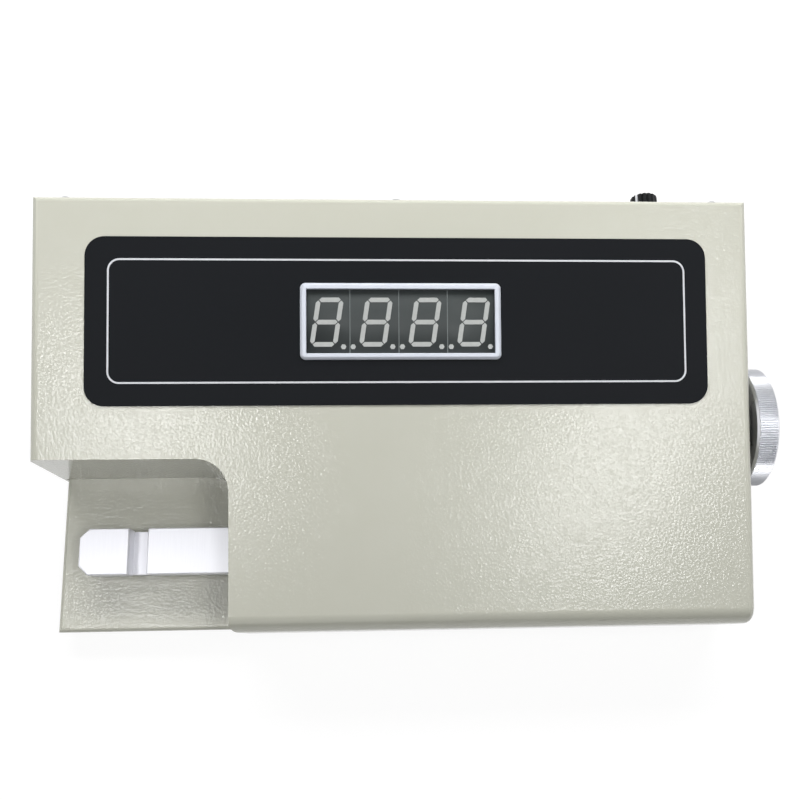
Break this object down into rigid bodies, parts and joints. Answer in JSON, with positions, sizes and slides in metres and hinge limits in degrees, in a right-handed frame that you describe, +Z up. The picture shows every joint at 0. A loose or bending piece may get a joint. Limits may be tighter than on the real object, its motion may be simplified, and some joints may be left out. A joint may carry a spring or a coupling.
{
  "type": "tablet hardness tester",
  "caption": "Bench tester in a wedge-shaped folded steel case: a knurled handwheel drives a pusher that squeezes a tablet against an anvil while a display shows the force.",
  "frame": {"origin": "centre of the overall box in plan, on the plane the rubber feet stand on", "axes": "+X to the right along the case, handwheel end; +Y to the rear; +Z up"},
  "size_m": [0.3144, 0.1888, 0.0782],
  "materials": {
    "powder_coated_steel": "orange-peel powder coat",
    "foot_rubber": "moulded",
    "plated_steel": "zinc plated",
    "panel_film": "fine matt print film",
    "bezel_plastic": "moulded",
    "module_epoxy": "cast",
    "segment_epoxy": "diffused",
    "circuit_laminate": "solder mask",
    "component_plastic": "moulded",
    "turned_aluminium": "turned",
    "milled_aluminium": "fine milled",
    "bronze": "sintered",
    "nut_brass": "turned",
    "ground_steel": "ground",
    "guide_acetal": "machined",
    "spacer_nylon": "moulded",
    "core_steel": "varnished laminations",
    "winding_tape": "wrapped",
    "black_plastic": "moulded",
    "contact_brass": "tinned",
    "pot_metal": "stamped"
  },
  "bodies": {
    "case": {"top_cover": "powder_coated_steel", "base_tray": "powder_coated_steel", "rear_panel": "powder_coated_steel", "rubber_feet": "foot_rubber", "cover_screws": "plated_steel", "panel_screws": "plated_steel", "display_screws": "plated_steel", "anvil_screws": "plated_steel", "arm_screws": "plated_steel", "end_plate_screws": "plated_steel", "guide_screws": "plated_steel", "board_screws": "plated_steel", "transformer_screws": "plated_steel", "inlet_screws": "plated_steel", "pot_nut": "plated_steel", "transformer_strap": "plated_steel", "overlay_panel": "panel_film", "display_bezel": "bezel_plastic", "digit_modules": "module_epoxy", "digit_segments": "segment_epoxy", "display_board": "circuit_laminate", "main_board": "circuit_laminate", "board_parts": "component_plastic", "anvil": "milled_aluminium", "rest_plate": "milled_aluminium", "arm_spacers": "milled_aluminium", "end_plates": "milled_aluminium", "screw_bearings": "bronze", "guide_rods": "ground_steel", "pusher_guide": "guide_acetal", "display_posts": "spacer_nylon", "board_spacers": "spacer_nylon", "transformer_core": "core_steel", "transformer_winding": "winding_tape", "power_inlet": "black_plastic", "fuse_holder": "black_plastic", "switch_body": "black_plastic", "inlet_pins": "contact_brass", "zero_pot": "pot_metal"},
    "wheel": {"handwheel": "turned_aluminium", "wheel_washer": "plated_steel", "wheel_screw": "plated_steel", "lead_screw": "ground_steel", "shaft_collars": "ground_steel"},
    "carriage": {"crosshead": "milled_aluminium", "guide_bushes": "bronze", "drive_nut": "nut_brass", "nut_screws": "plated_steel", "load_cell": "milled_aluminium", "pusher_stud": "plated_steel", "cell_bolt": "plated_steel", "pusher_bar": "milled_aluminium"},
    "zero_control": {"zero_knob": "black_plastic", "pot_shaft": "ground_steel"},
    "rocker": {"switch_rocker": "black_plastic"}
  },
  "joints": [
    {"name": "wheel_spin", "type": "hinge", "parent": "case", "child": "wheel", "pos_m": [0.14495, -0.008, 0.037], "axis": [1, 0, 0], "range_deg": [-1351, 5041]},
    {"name": "pusher_slide", "type": "slide", "parent": "case", "child": "carriage", "axis": [1, 0, 0], "range_m": [-0.0075, 0.028]},
    {"name": "zero_turn", "type": "hinge", "parent": "case", "child": "zero_control", "pos_m": [0.10725, 0.0814, 0.056], "axis": [0, 1, 0], "range_deg": [-150, 150]},
    {"name": "power_rock", "type": "hinge", "parent": "case", "child": "rocker", "pos_m": [-0.06305, 0.0814, 0.042], "axis": [1, 0, 0], "range_deg": [-16, 0]}
  ],
  "couplings": [
    {"joint": "wheel_spin", "follows": "pusher_slide", "rad_per_m": 3141.6}
  ]
}
